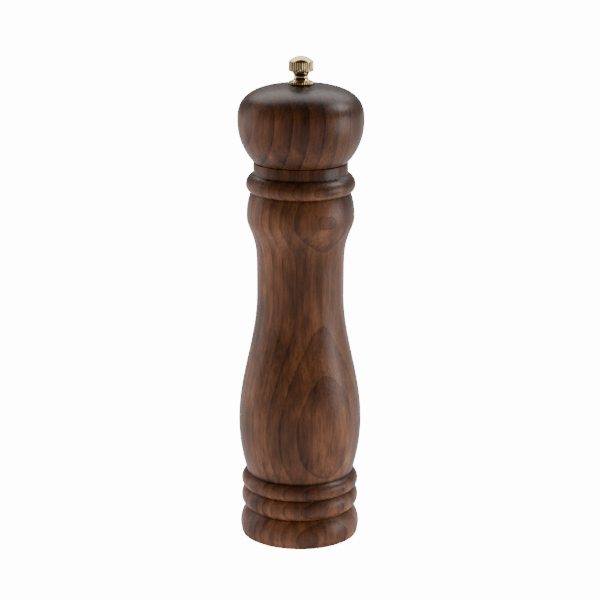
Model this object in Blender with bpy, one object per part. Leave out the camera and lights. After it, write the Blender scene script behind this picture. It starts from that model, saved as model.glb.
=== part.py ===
"""Turned wooden pepper mill with a brass adjusting knob, as an assembly of its real pieces.

The frame stands on z = 0 with the mill's axis on +Z. The wooden body is a stack of turned bands from the
foot up to the collar. The grinding unit is pushed into it from below and held by a bar with two screws.
The head sits on the collar and turns a square shaft through a driver plate; the knob sets the grind.
"""
import math

import bmesh
import bpy

MM = 0.001
DEG = math.radians(1.0)

# Fits
GAP = 0.3 * MM                      # between faces that touch or seat
RUN = 0.6 * MM                      # around what turns or slides

# Wooden body: heights of its bands from the floor up, and their radii
FOOT_HEIGHT = 13.0 * MM
FOOT_WIDEST = 4.5 * MM              # height at which the foot is widest
FOOT_EDGE = 1.0 * MM                # rounding of the foot's lower edge
LOWER_RING_HEIGHT = 9.5 * MM
UPPER_RING_HEIGHT = 7.6 * MM
BELLY_RISE = 24.3 * MM              # from the rings to the belly's widest line
BELLY_TO_WAIST = 59.0 * MM
WAIST_TO_SHOULDER = 34.9 * MM
SHOULDER_BAND = 1.6 * MM
SHOULDER_DROP = 9.9 * MM            # from the shoulder band up to the groove
NECK_RING_RISE = 3.6 * MM           # from the groove to the neck ring's widest line
NECK_RING_DROP = 4.7 * MM           # from there to the collar
COLLAR_HEIGHT = 5.1 * MM

FOOT_RADIUS = 27.25 * MM
FOOT_TOP_RADIUS = 24.2 * MM
LOWER_RING_RADIUS = 26.7 * MM
RING_CREASE_RADIUS = 24.9 * MM
UPPER_RING_RADIUS = 26.65 * MM
BELLY_FOOT_RADIUS = 24.1 * MM
BELLY_RADIUS = 27.8 * MM
WAIST_RADIUS = 19.55 * MM
SHOULDER_RADIUS = 24.05 * MM
GROOVE_RADIUS = 22.25 * MM
NECK_RING_RADIUS = 24.4 * MM
COLLAR_RADIUS = 21.05 * MM
COLLAR_EDGE = 0.4 * MM
SHOULDER_LAG = 3.0                  # how late the waist swells into the shoulder

# Wooden head
HEAD_RADIUS = 28.05 * MM
HEAD_RISE = 18.1 * MM               # from its underside to its widest line
HEAD_CROWN = 16.05 * MM             # from there to its top
CROWN_FULLNESS = 2.75               # exponent of the crown's outline, 2 for an ellipse
HEAD_FOOT_RADIUS = 21.0 * MM
TENON_LENGTH = 14.0 * MM
TENON_WALL_STEP = 0.8 * MM          # ledge between the tenon's bore and the chamber
TENON_ROOM = 2.3 * MM               # free depth under the driver plate

# Chamber and shaft
CHAMBER_RADIUS = 13.0 * MM
SHAFT_SIDE = 5.0 * MM
SHAFT_FLOOR = 3.4 * MM              # height of the shaft's lower end
SHAFT_SHOULDER = 0.5 * MM           # from the square's flat in to the round ends
SQUARE_BELOW_TOP = 8.0 * MM         # from the head's top down to the end of the square
THREAD_REACH = 8.5 * MM             # round end above the knob's seat
GROOVE_DEPTH = 0.5 * MM
CLIP_THICKNESS = 0.6 * MM
CLIP_CLEARANCE = 0.1 * MM           # from the retaining bar's upper face up to the clip
CLIP_RADIUS = 3.6 * MM
CLIP_MOUTH = 70.0 * DEG
WASHER_RADIUS = 4.6 * MM
WASHER_THICKNESS = 0.8 * MM
GRIND_TRAVEL = 1.2 * MM             # how far the knob lets the shaft down

# Grinding set
STATOR_RADIUS = 14.0 * MM
STATOR_HEIGHT = 9.9 * MM
STATOR_MOUTH_DEPTH = 2.4 * MM       # wall at the wide lower end
STATOR_THROAT_DEPTH = 5.0 * MM      # wall at the narrow upper end
TOOTH_DEPTH = 0.6 * MM
TOOTH_COUNT = 20
TOOTH_TWIST = 30.0 * DEG            # over the rotor's toothed height
GRIND_GAP = 0.7 * MM                # between the two cones
ROTOR_NECK_HEIGHT = 9.2 * MM        # feed cone above the stator
ROTOR_NECK_WALL = 2.4 * MM          # around the square hole, at the top

# Housing, bridge and bush
HOUSING_FLOOR = 5.2 * MM            # underside of the flange and of the stator
HOUSING_WALL = 1.9 * MM
HOUSING_LEDGE = 1.3 * MM            # ledge that the stator bears up against
HOUSING_HEIGHT = 28.8 * MM
FLANGE_THICKNESS = 1.5 * MM
FLANGE_WIDTH = 6.0 * MM
BRIDGE_THICKNESS = 1.4 * MM
BRIDGE_ARM_WIDTH = 3.5 * MM
BRIDGE_ARMS = 3
HUB_WALL = 1.3 * MM
BUSH_WALL = 1.15 * MM
BUSH_LIP = 1.0 * MM
BUSH_RISE = 1.3 * MM                # above the bridge

# Spring
SPRING_WIRE = 0.8 * MM
SPRING_TURNS = 3.0
SPRING_PITCH_DEAD = 1.05            # pitch of the closed end turns, in wire thicknesses
SEAT_WASHER_THICKNESS = 0.7 * MM

# Retaining bar and driver plate, with their screws
BAR_THICKNESS = 1.2 * MM
BAR_WIDTH = 8.0 * MM
EYE_RADIUS = 5.5 * MM
EYE_WALL = 3.0 * MM
BAR_SCREW_RADIUS = 1.25 * MM
BAR_SCREW_LENGTH = 12.6 * MM
BAR_SCREW_INSET = 0.5 * MM          # in from the middle of the flange
PLATE_RADIUS = 10.5 * MM
PLATE_THICKNESS = 1.2 * MM
PLATE_SCREW_RADIUS = 1.0 * MM
PLATE_SCREW_LENGTH = 8.0 * MM
PLATE_SCREW_CIRCLE = 7.9 * MM
PLATE_SCREWS = 3
HEAD_TO_SHANK = 2.0                 # screw head radius over shank radius
SCREW_HEAD_THICKNESS = 1.1 * MM
SCREW_FLAT = 0.75                   # flat middle of a screw's head, as a share of its radius
SCREW_CROWN = 0.7                   # upright part of its edge, as a share of its thickness
SLOT_WIDTH = 0.5 * MM
SLOT_DEPTH = 0.45 * MM

# Brass ferrule and knob
FERRULE_WALL = 1.6 * MM
FERRULE_LENGTH = 4.0 * MM
FERRULE_FLANGE = 1.25 * MM          # how far the flange stands out
FERRULE_FLANGE_THICKNESS = 0.8 * MM
KNOB_SEAT_DEPTH = 0.4 * MM          # ferrule's top below the head's top
KNOB_RADIUS = 5.5 * MM
KNOB_FLANGE_HEIGHT = 1.5 * MM
KNOB_WAIST_WALL = 0.75 * MM
KNOB_WAIST_DROP = 1.9 * MM          # from the flange up to the narrowest line
KNOB_WAIST_RISE = 2.4 * MM          # from there up to the grip
KNOB_GRIP_HEIGHT = 4.2 * MM
KNOB_CHAMFER = 0.35 * MM
KNOB_DOME = 2.45 * MM
KNURL_COUNT = 34
KNURL_DEPTH = 0.22 * MM

# Facets of the round pieces
BIG_ROUND = 40
SMALL_ROUND = 24
SCREW_ROUND = 12

# Heights that follow from the stack of bands
rings_low = FOOT_HEIGHT
rings_mid = rings_low + LOWER_RING_HEIGHT
rings_top = rings_mid + UPPER_RING_HEIGHT
belly_z = rings_top + BELLY_RISE
waist_z = belly_z + BELLY_TO_WAIST
shoulder_z = waist_z + WAIST_TO_SHOULDER
shoulder_top = shoulder_z + SHOULDER_BAND
groove_z = shoulder_top + SHOULDER_DROP
neck_ring_z = groove_z + NECK_RING_RISE
collar_low = neck_ring_z + NECK_RING_DROP
collar_top = collar_low + COLLAR_HEIGHT
head_low = collar_top + GAP
head_wide_z = head_low + HEAD_RISE
head_top = head_wide_z + HEAD_CROWN
seat_z = head_top - KNOB_SEAT_DEPTH
knob_low = seat_z + GAP

# Radii and heights that follow from the shaft and the stator
half_diagonal = SHAFT_SIDE * math.sqrt(0.5)
round_radius = SHAFT_SIDE / 2 - SHAFT_SHOULDER
pocket_radius = STATOR_RADIUS + GAP
housing_radius = pocket_radius + HOUSING_WALL
sleeve_bore = pocket_radius - HOUSING_LEDGE
housing_bore = housing_radius + GAP
recess_radius = housing_bore + FLANGE_WIDTH
flange_radius = recess_radius - GAP
recess_top = HOUSING_FLOOR + FLANGE_THICKNESS + GAP
housing_top = HOUSING_FLOOR + HOUSING_HEIGHT
bridge_low = housing_top + GAP
bridge_top = bridge_low + BRIDGE_THICKNESS
bore_top = bridge_top + GAP
bar_top = HOUSING_FLOOR - GAP
bar_low = bar_top - BAR_THICKNESS
bar_screw_x = (housing_bore + recess_radius) / 2 - BAR_SCREW_INSET

bush_bore = half_diagonal + GAP
bush_radius = bush_bore + BUSH_WALL
hub_bore = bush_radius + GAP
hub_radius = hub_bore + HUB_WALL
bush_lip_low = bridge_low - GAP - BUSH_LIP
seat_washer_top = bush_lip_low - GAP
seat_washer_low = seat_washer_top - SEAT_WASHER_THICKNESS

clip_low = bar_top + CLIP_CLEARANCE
washer_low = clip_low + CLIP_THICKNESS + 2 * GAP
rotor_low = washer_low + WASHER_THICKNESS + GAP
stator_top = HOUSING_FLOOR + STATOR_HEIGHT
rotor_top = stator_top + ROTOR_NECK_HEIGHT
spring_low = rotor_top + GAP
spring_top = seat_washer_low - GAP
spring_bore = half_diagonal + RUN + GAP
hole_side = SHAFT_SIDE + 2 * GAP

tenon_radius = CHAMBER_RADIUS + TENON_WALL_STEP - RUN
tenon_bore = CHAMBER_RADIUS + TENON_WALL_STEP
tenon_low = head_low - TENON_LENGTH
plate_top = tenon_low - GAP
plate_low = plate_top - PLATE_THICKNESS
tenon_bore_low = plate_low - TENON_ROOM
thread_hole = round_radius + RUN
ferrule_radius = thread_hole + FERRULE_WALL
ferrule_flange_radius = ferrule_radius + FERRULE_FLANGE
head_hole = ferrule_radius + GAP
square_top = head_top - SQUARE_BELOW_TOP
shaft_top = knob_low + THREAD_REACH
knob_bore = round_radius + GAP
knob_bore_top = shaft_top + GRIND_TRAVEL


# ---------------------------------------------------------------- outlines

def bulge(wide, end, steps):
    """Arc from a turned form's widest point, where it runs upright, to an end point, without the first."""
    (wide_r, wide_z), (end_r, end_z) = wide, end
    depth = wide_r - end_r
    radius = ((end_z - wide_z) ** 2 + depth ** 2) / (2 * depth)
    centre = wide_r - radius
    sweep = math.atan2(end_z - wide_z, end_r - centre)
    angles = [sweep * i / steps for i in range(1, steps + 1)]
    return [(centre + radius * math.cos(a), wide_z + radius * math.sin(a)) for a in angles]


def bead(low, wide, high, steps):
    """Round bead from a low point over its widest line to a high point, both ends included."""
    lower = [low] + bulge(wide, low, steps)[-2::-1]
    return lower + [wide] + bulge(wide, high, steps)


def swell(start, end, steps, lag=1.0):
    """S-curve between two upright points of a turned form, without the first. Lag keeps it near the start."""
    points = []
    for i in range(1, steps + 1):
        t = i / steps
        share = (1 - math.cos(math.pi * t ** lag)) / 2
        points.append((start[0] + (end[0] - start[0]) * share, start[1] + (end[1] - start[1]) * t))
    return points


def cove(waist, end, steps):
    """Hollow quarter oval from a turned form's narrowest point out to an end point, without the first."""
    angles = [math.pi / 2 * i / steps for i in range(1, steps + 1)]
    return [(waist[0] + (end[0] - waist[0]) * (1 - math.cos(a)), waist[1] + (end[1] - waist[1]) * math.sin(a))
            for a in angles]


def crown(wide, top_z, end_r, fullness, steps):
    """Full crown from the widest point up towards a flat top on the axis, cut off at a radius."""
    radius, wide_z = wide
    rise = top_z - wide_z
    last = math.acos((end_r / radius) ** (fullness / 2))
    points = []
    for i in range(1, steps + 1):
        a = last * i / steps
        r = radius * math.cos(a) ** (2 / fullness)
        points.append((r, wide_z + rise * math.sin(a) ** (2 / fullness)))
    return points


# ---------------------------------------------------------------- building

def material(name, colour, roughness, metallic):
    mat = bpy.data.materials.new(name)
    mat.use_nodes = True
    shader = mat.node_tree.nodes["Principled BSDF"]
    shader.inputs["Base Color"].default_value = (*colour, 1.0)
    shader.inputs["Roughness"].default_value = roughness
    shader.inputs["Metallic"].default_value = metallic
    return mat


def finish(name, bm, mat, sharp=35.0 * DEG):
    """Turn a bmesh into a named object with smooth shading and sharp corners."""
    bmesh.ops.remove_doubles(bm, verts=bm.verts, dist=0.001 * MM)
    bmesh.ops.recalc_face_normals(bm, faces=bm.faces)
    mesh = bpy.data.meshes.new(name)
    bm.to_mesh(mesh)
    bm.free()
    mesh.shade_smooth()
    mesh.set_sharp_from_angle(angle=sharp)
    mesh.materials.append(mat)
    obj = bpy.data.objects.new(name, mesh)
    bpy.context.scene.collection.objects.link(obj)
    return obj


def spun(outline, steps):
    """Spin an outline of (radius, height) points about the axis. It closes on itself or on the axis."""
    bm = bmesh.new()
    verts = [bm.verts.new((r, 0, z)) for r, z in outline]
    edges = [bm.edges.new(pair) for pair in zip(verts, verts[1:])]
    if outline[0][0] > 0:
        edges.append(bm.edges.new((verts[-1], verts[0])))
    bmesh.ops.spin(bm, geom=verts + edges, cent=(0, 0, 0), axis=(0, 0, 1), angle=2 * math.pi,
                   steps=steps, use_merge=True)
    bmesh.ops.remove_doubles(bm, verts=bm.verts, dist=0.001 * MM)
    return bm


def turned(name, outline, mat, steps=BIG_ROUND):
    return finish(name, spun(outline, steps), mat)


def ring(name, inner, outer, low, high, mat, steps=SMALL_ROUND):
    return turned(name, [(inner, low), (outer, low), (outer, high), (inner, high)], mat, steps)


def prism(outline, low, high):
    """Extrude a flat outline of (x, y) points upwards."""
    bm = bmesh.new()
    base = bm.faces.new([bm.verts.new((x, y, low)) for x, y in outline])
    raised = bmesh.ops.extrude_face_region(bm, geom=[base])["geom"]
    tops = [item for item in raised if isinstance(item, bmesh.types.BMVert)]
    bmesh.ops.translate(bm, verts=tops, vec=(0, 0, high - low))
    return bm


def circle(radius, steps, centre=(0, 0)):
    angles = [2 * math.pi * i / steps for i in range(steps)]
    return [(centre[0] + radius * math.cos(a), centre[1] + radius * math.sin(a)) for a in angles]


def square(side):
    half = side / 2
    return [(-half, -half), (half, -half), (half, half), (-half, half)]


def tool(name, bm, mat):
    """Object that only shapes another one."""
    obj = finish(name, bm, mat)
    obj.hide_render = True
    obj.display_type = 'WIRE'
    return obj


def boolean(obj, other, operation):
    mod = obj.modifiers.new(other.name, 'BOOLEAN')
    mod.operation = operation
    mod.object = other
    mod.solver = 'EXACT'


def cut(obj, *tools):
    for other in tools:
        boolean(obj, other, 'DIFFERENCE')


def tooth_in(bm, count, depth, low, high, twist, inward, inner=0.0, outer=math.inf):
    """Draw every second and third point of the chosen rings back by part of the tooth's depth.

    The rings are those between two heights and two radii, on a form spun in 3 steps for each tooth. The
    teeth wind by the twist from the low to the high ring.
    """
    step = 2 * math.pi / (3 * count)
    side = 1 if inward else -1
    backs = (0.0, 0.85, 0.45)
    for vert in bm.verts:
        radius = math.hypot(vert.co.x, vert.co.y)
        if not (low - MM / 100 <= vert.co.z <= high + MM / 100 and inner < radius < outer):
            continue
        angle = math.atan2(vert.co.y, vert.co.x)
        radius -= side * depth * backs[round(angle / step) % 3]
        angle += twist * (vert.co.z - low) / (high - low)
        vert.co.x = radius * math.cos(angle)
        vert.co.y = radius * math.sin(angle)


# ---------------------------------------------------------------- wooden pieces

def body_outline():
    """Outside of the body from the foot's edge to the collar's top."""
    edge_r = FOOT_RADIUS - FOOT_EDGE / 2
    foot_wide = (FOOT_RADIUS, FOOT_WIDEST)
    points = [(edge_r - FOOT_EDGE, 0), (edge_r - 0.3 * FOOT_EDGE, 0.3 * FOOT_EDGE), (edge_r, FOOT_EDGE)]
    points += [foot_wide] + bulge(foot_wide, (FOOT_TOP_RADIUS, FOOT_HEIGHT), 4)
    mid_ring = (LOWER_RING_RADIUS, rings_low + LOWER_RING_HEIGHT / 2)
    points += bead(points[-1], mid_ring, (RING_CREASE_RADIUS, rings_mid), 3)[1:]
    top_ring = (UPPER_RING_RADIUS, rings_mid + 0.45 * UPPER_RING_HEIGHT)
    points += bead(points[-1], top_ring, (BELLY_FOOT_RADIUS, rings_top), 3)[1:]
    belly = (BELLY_RADIUS, belly_z)
    points += bulge(belly, points[-1], 4)[-2::-1] + [belly]
    waist = (WAIST_RADIUS, waist_z)
    points += swell(belly, waist, 9)
    shoulder = (SHOULDER_RADIUS, shoulder_z)
    points += swell(waist, shoulder, 9, SHOULDER_LAG)
    shoulder_end = (SHOULDER_RADIUS, shoulder_top)
    points += [shoulder_end] + bulge(shoulder_end, (GROOVE_RADIUS, groove_z), 3)
    neck_ring = (NECK_RING_RADIUS, neck_ring_z)
    points += bead(points[-1], neck_ring, (COLLAR_RADIUS + COLLAR_EDGE, collar_low), 4)[1:]
    points += [(COLLAR_RADIUS, collar_low + COLLAR_EDGE), (COLLAR_RADIUS, collar_top - COLLAR_EDGE)]
    points += [(COLLAR_RADIUS - COLLAR_EDGE, collar_top)]
    return points


def make_body(wood):
    bores = [(tenon_bore, collar_top), (tenon_bore, tenon_bore_low), (CHAMBER_RADIUS, tenon_bore_low),
             (CHAMBER_RADIUS, bore_top), (housing_bore, bore_top), (housing_bore, recess_top),
             (recess_radius, recess_top), (recess_radius, COLLAR_EDGE), (recess_radius + COLLAR_EDGE, 0)]
    body = turned("body", body_outline() + bores, wood)
    for index, x in enumerate((bar_screw_x, -bar_screw_x), 1):
        pilot = prism(circle(BAR_SCREW_RADIUS + GAP, SCREW_ROUND, (x, 0)), recess_top - MM,
                      bar_low + BAR_SCREW_LENGTH + GAP)
        cut(body, tool(f"body_pilot_{index}", pilot, wood))


def plate_screw_places():
    angles = [math.pi / 2 + 2 * math.pi * i / PLATE_SCREWS for i in range(PLATE_SCREWS)]
    return [(PLATE_SCREW_CIRCLE * math.cos(a), PLATE_SCREW_CIRCLE * math.sin(a)) for a in angles]


def make_head(wood):
    wide = (HEAD_RADIUS, head_wide_z)
    counterbore = ferrule_flange_radius + GAP
    outline = [(head_hole, tenon_low), (tenon_radius - COLLAR_EDGE, tenon_low),
               (tenon_radius, tenon_low + COLLAR_EDGE), (tenon_radius, head_low)]
    outline += [(HEAD_FOOT_RADIUS, head_low)]
    outline += bulge(wide, outline[-1], 7)[-2::-1] + [wide]
    outline += crown(wide, head_top, counterbore, CROWN_FULLNESS, 10)
    ledge = seat_z - FERRULE_FLANGE_THICKNESS - GAP
    outline += [(counterbore, ledge), (head_hole, ledge)]
    head = turned("head", outline, wood)
    for index, place in enumerate(plate_screw_places(), 1):
        pilot = prism(circle(PLATE_SCREW_RADIUS + GAP, SCREW_ROUND, place), tenon_low - MM,
                      plate_low + PLATE_SCREW_LENGTH + GAP)
        cut(head, tool(f"head_pilot_{index}", pilot, wood))


# ---------------------------------------------------------------- grinding unit

def make_housing(nylon):
    outline = [(pocket_radius, HOUSING_FLOOR), (flange_radius, HOUSING_FLOOR),
               (flange_radius, HOUSING_FLOOR + FLANGE_THICKNESS),
               (housing_radius, HOUSING_FLOOR + FLANGE_THICKNESS), (housing_radius, housing_top),
               (sleeve_bore, housing_top), (sleeve_bore, stator_top + GAP), (pocket_radius, stator_top + GAP)]
    housing = turned("grinder_housing", outline, nylon)
    for index, x in enumerate((bar_screw_x, -bar_screw_x), 1):
        hole = prism(circle(BAR_SCREW_RADIUS + GAP, SCREW_ROUND, (x, 0)), HOUSING_FLOOR - MM,
                     HOUSING_FLOOR + FLANGE_THICKNESS + MM)
        cut(housing, tool(f"flange_hole_{index}", hole, nylon))


def stator_crest(z):
    """Radius of the stator's tooth tips at a height."""
    share = (z - HOUSING_FLOOR) / STATOR_HEIGHT
    wall = STATOR_MOUTH_DEPTH + (STATOR_THROAT_DEPTH - STATOR_MOUTH_DEPTH) * share
    return STATOR_RADIUS - wall


def make_stator(steel):
    heights = [HOUSING_FLOOR + STATOR_HEIGHT * i / 3 for i in range(4)]
    inside = [(stator_crest(z), z) for z in heights]
    outline = inside + [(STATOR_RADIUS, stator_top), (STATOR_RADIUS, HOUSING_FLOOR)]
    bm = spun(outline, 3 * TOOTH_COUNT)
    tooth_in(bm, TOOTH_COUNT, TOOTH_DEPTH, HOUSING_FLOOR, stator_top, -TOOTH_TWIST / 3, False,
             outer=STATOR_RADIUS - MM)
    finish("stator", bm, steel, 25.0 * DEG)


def make_rotor(steel):
    tooth_top = stator_top
    neck_radius = hole_side * math.sqrt(0.5) + ROTOR_NECK_WALL
    heights = [rotor_low + (tooth_top - rotor_low) * i / 3 for i in range(4)]
    side = [(stator_crest(z) - GRIND_GAP, z) for z in heights]
    tip = side[-1][0]
    side += [(tip + (neck_radius - tip) * t, tooth_top + (rotor_top - tooth_top) * t) for t in (0.5, 1.0)]
    outline = [(0, rotor_low)] + side + [(0, rotor_top)]
    bm = spun(outline, 3 * TOOTH_COUNT)
    tooth_in(bm, TOOTH_COUNT, TOOTH_DEPTH, rotor_low, rotor_top, TOOTH_TWIST, True, inner=MM)
    rotor = finish("rotor", bm, steel, 25.0 * DEG)
    hole = prism(square(hole_side), rotor_low - MM, rotor_top + MM)
    cut(rotor, tool("rotor_square", hole, steel))


def make_bridge(steel):
    """Ring, arms and hub pressed from one sheet: a disc with the spaces between its arms cut out."""
    ring_bore = sleeve_bore
    disc = [(hub_bore, bridge_low), (housing_radius, bridge_low),
            (housing_radius, bridge_top), (hub_bore, bridge_top)]
    bridge = turned("shaft_bridge", disc, steel)
    half = BRIDGE_ARM_WIDTH / 2
    pitch = 2 * math.pi / BRIDGE_ARMS
    for index in range(BRIDGE_ARMS):
        middle = -math.pi / 2 + pitch * index
        outer_half = pitch / 2 - math.asin(half / ring_bore)
        inner_half = pitch / 2 - math.asin(half / hub_radius)
        outer = [middle - outer_half + 2 * outer_half * i / 6 for i in range(7)]
        inner = [middle + inner_half - 2 * inner_half * i / 6 for i in range(7)]
        window = [(ring_bore * math.cos(a), ring_bore * math.sin(a)) for a in outer]
        window += [(hub_radius * math.cos(a), hub_radius * math.sin(a)) for a in inner]
        hole = prism(window, bridge_low - MM, bridge_top + MM)
        cut(bridge, tool(f"bridge_window_{index + 1}", hole, steel))


def make_bush(nylon):
    lip = hub_radius - HUB_WALL / 2
    outline = [(bush_bore, bush_lip_low), (lip, bush_lip_low), (lip, bush_lip_low + BUSH_LIP),
               (bush_radius, bush_lip_low + BUSH_LIP), (bush_radius, bridge_top + BUSH_RISE),
               (bush_bore, bridge_top + BUSH_RISE)]
    turned("shaft_guide_bush", outline, nylon, SMALL_ROUND)


def make_spring(steel):
    """Wire wound on a helix, closed at both ends, as a tube of constant thickness."""
    wire = SPRING_WIRE / 2
    coil = spring_bore + wire
    low = spring_low + wire
    high = spring_top - wire
    sides = 6
    per_turn = 12
    dead = SPRING_PITCH_DEAD * SPRING_WIRE
    total = SPRING_TURNS + 2
    steps = round(total * per_turn)
    bm = bmesh.new()
    loops = []
    for i in range(steps + 1):
        turn = total * i / steps
        if turn <= 1:
            z = low + dead * turn
        elif turn >= total - 1:
            z = high - dead * (total - turn)
        else:
            z = low + dead + (high - low - 2 * dead) * (turn - 1) / SPRING_TURNS
        angle = 2 * math.pi * turn
        loop = []
        for k in range(sides):
            a = 2 * math.pi * k / sides
            r = coil + wire * math.cos(a)
            loop.append(bm.verts.new((r * math.cos(angle), r * math.sin(angle), z + wire * math.sin(a))))
        loops.append(loop)
    for one, two in zip(loops, loops[1:]):
        for k in range(sides):
            n = (k + 1) % sides
            bm.faces.new((one[k], one[n], two[n], two[k]))
    bm.faces.new(loops[0])
    bm.faces.new(loops[-1])
    finish("spring", bm, steel, 80.0 * DEG)


def make_bar(steel):
    """Flat bar with round ends and a round eye, cut from one sheet."""
    end = flange_radius - RUN
    half = BAR_WIDTH / 2
    centre = end - half
    turn = [math.pi * (i / 8 - 0.5) for i in range(9)]
    outline = [(centre + half * math.cos(a), half * math.sin(a)) for a in turn]
    outline += [(-centre - half * math.cos(a), -half * math.sin(a)) for a in turn]
    bar = finish("retaining_bar", prism(outline, bar_low, bar_top), steel)
    boss = tool("bar_boss", prism(circle(EYE_RADIUS + EYE_WALL, SMALL_ROUND), bar_low, bar_top), steel)
    boolean(bar, boss, 'UNION')
    cut(bar, tool("bar_eye", prism(circle(EYE_RADIUS, SMALL_ROUND), bar_low - MM, bar_top + MM), steel))
    for index, x in enumerate((bar_screw_x, -bar_screw_x), 1):
        hole = prism(circle(BAR_SCREW_RADIUS + GAP, SCREW_ROUND, (x, 0)), bar_low - MM, bar_top + MM)
        cut(bar, tool(f"bar_hole_{index}", hole, steel))


# ---------------------------------------------------------------- shaft and what it carries

def make_shaft(steel):
    """Square bar with a round upper end for the thread and a grooved round lower end."""
    groove_low = clip_low - GAP
    groove_high = clip_low + CLIP_THICKNESS + GAP
    groove = round_radius - GROOVE_DEPTH
    chamfer = GROOVE_DEPTH
    outline = [(0, SHAFT_FLOOR), (round_radius, SHAFT_FLOOR), (round_radius, groove_low)]
    outline += [(groove, groove_low), (groove, groove_high), (round_radius, groove_high)]
    outline += [(round_radius, shaft_top - chamfer), (round_radius - chamfer, shaft_top), (0, shaft_top)]
    shaft = turned("drive_shaft", outline, steel, SMALL_ROUND)
    bar = tool("shaft_square", prism(square(SHAFT_SIDE), rotor_low, square_top), steel)
    boolean(shaft, bar, 'UNION')


def make_clip(steel):
    """Open ring that snaps into the shaft's groove."""
    inner = round_radius - GROOVE_DEPTH + GAP
    steps = 14
    sweep = 2 * math.pi - CLIP_MOUTH
    angles = [CLIP_MOUTH / 2 + sweep * i / steps for i in range(steps + 1)]
    outline = [(CLIP_RADIUS * math.cos(a), CLIP_RADIUS * math.sin(a)) for a in angles]
    outline += [(inner * math.cos(a), inner * math.sin(a)) for a in reversed(angles)]
    finish("shaft_circlip", prism(outline, clip_low, clip_low + CLIP_THICKNESS), steel)


def make_screw(name, steel, place, head_low, shank, length):
    """Slotted pan-head wood screw, point up."""
    radius = shank * HEAD_TO_SHANK
    crown_edge = SCREW_CROWN * SCREW_HEAD_THICKNESS
    under = head_low + SCREW_HEAD_THICKNESS
    tip = under + length
    outline = [(0, head_low), (SCREW_FLAT * radius, head_low), (radius, under - crown_edge), (radius, under)]
    outline += [(shank, under), (shank, tip - 2 * shank), (0, tip)]
    bm = spun(outline, SCREW_ROUND)
    bmesh.ops.translate(bm, verts=bm.verts, vec=(*place, 0))
    screw = finish(name, bm, steel)
    reach = radius + GAP
    half = SLOT_WIDTH / 2
    corners = ((-reach, -half), (reach, -half), (reach, half), (-reach, half))
    slot = [(place[0] + x, place[1] + y) for x, y in corners]
    cut(screw, tool(f"{name}_slot", prism(slot, head_low - MM, head_low + SLOT_DEPTH), steel))


def make_driver_plate(steel):
    plate = finish("driver_plate", prism(circle(PLATE_RADIUS, BIG_ROUND), plate_low, plate_top), steel)
    cut(plate, tool("plate_square", prism(square(hole_side), plate_low - MM, plate_top + MM), steel))
    for index, place in enumerate(plate_screw_places(), 1):
        hole = prism(circle(PLATE_SCREW_RADIUS + GAP, SCREW_ROUND, place), plate_low - MM, plate_top + MM)
        cut(plate, tool(f"plate_hole_{index}", hole, steel))


# ---------------------------------------------------------------- brass pieces

def make_ferrule(brass):
    flange_low = seat_z - FERRULE_FLANGE_THICKNESS
    outline = [(thread_hole, seat_z - FERRULE_LENGTH), (ferrule_radius, seat_z - FERRULE_LENGTH),
               (ferrule_radius, flange_low), (ferrule_flange_radius, flange_low),
               (ferrule_flange_radius, seat_z), (thread_hole, seat_z)]
    turned("head_ferrule", outline, brass, SMALL_ROUND)


def make_knob(brass):
    """Knob with a knurled flange, a hollow waist, a knurled grip and a domed top, bored blind from below."""
    flange_top = knob_low + KNOB_FLANGE_HEIGHT
    waist = (knob_bore + KNOB_WAIST_WALL, flange_top + KNOB_WAIST_DROP)
    grip_low = waist[1] + KNOB_WAIST_RISE
    grip_top = grip_low + KNOB_GRIP_HEIGHT
    inner = KNOB_RADIUS - KNURL_DEPTH - KNOB_CHAMFER
    outline = [(0, knob_bore_top), (knob_bore, knob_bore_top), (knob_bore, knob_low), (inner, knob_low)]
    outline += [(KNOB_RADIUS, knob_low + KNOB_CHAMFER), (KNOB_RADIUS, flange_top - KNOB_CHAMFER),
                (inner, flange_top)]
    outline += cove(waist, outline[-1], 4)[-2::-1] + [waist] + cove(waist, (inner, grip_low), 4)
    outline += [(KNOB_RADIUS, grip_low + KNOB_CHAMFER), (KNOB_RADIUS, grip_top)]
    dome_edge = KNOB_RADIUS - KNURL_DEPTH
    dome_radius = (dome_edge ** 2 + KNOB_DOME ** 2) / (2 * KNOB_DOME)
    dome_centre = grip_top + KNOB_DOME - dome_radius
    dome_sweep = math.asin(dome_edge / dome_radius)
    for share in (1.0, 0.75, 0.5, 0.25, 0.0):
        a = dome_sweep * share
        outline.append((dome_radius * math.sin(a), dome_centre + dome_radius * math.cos(a)))
    bm = spun(outline, 2 * KNURL_COUNT)
    step = math.pi / KNURL_COUNT
    for vert in bm.verts:
        radius = math.hypot(vert.co.x, vert.co.y)
        if radius > KNOB_RADIUS - KNURL_DEPTH / 2 and round(math.atan2(vert.co.y, vert.co.x) / step) % 2:
            share = (radius - KNURL_DEPTH) / radius
            vert.co.x *= share
            vert.co.y *= share
    finish("adjusting_knob", bm, brass, 30.0 * DEG)


# ---------------------------------------------------------------- assembly

for old in list(bpy.data.objects):
    bpy.data.objects.remove(old, do_unlink=True)

wood = material("walnut_stained_wood", (0.095, 0.045, 0.026), 0.38, 0.0)
brass = material("polished_brass", (0.72, 0.53, 0.27), 0.16, 1.0)
carbon_steel = material("carbon_steel", (0.33, 0.33, 0.34), 0.42, 1.0)
zinc_steel = material("zinc_plated_steel", (0.62, 0.62, 0.6), 0.3, 1.0)
nylon = material("black_nylon", (0.025, 0.025, 0.027), 0.5, 0.0)

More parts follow.
